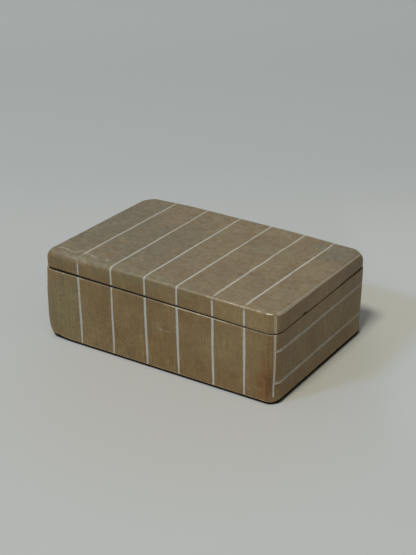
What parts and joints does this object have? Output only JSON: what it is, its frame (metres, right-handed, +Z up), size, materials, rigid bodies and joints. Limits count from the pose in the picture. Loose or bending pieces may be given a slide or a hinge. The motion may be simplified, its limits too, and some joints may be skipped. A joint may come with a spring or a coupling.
{
  "type": "stone lidded box",
  "caption": "Rectangular carved stone box: a hollow body with rounded corners and a loose lift-off lid, decorated with pale incised lines.",
  "frame": {"origin": "middle of the flat face that the box rests on", "axes": "+X along the length to the right end, +Y from the front to the back, +Z up through the lid"},
  "size_m": [0.152, 0.1, 0.0549],
  "materials": {
    "stone_body": "satin",
    "stone_lid": "satin"
  },
  "bodies": {
    "body": {"box_body": "stone_body"},
    "lid": {"lid": "stone_lid"}
  },
  "joints": [
    {"name": "lid_lift", "type": "slide", "parent": "body", "child": "lid", "axis": [0, 0, 1], "range_m": [0, 0.06]}
  ]
}
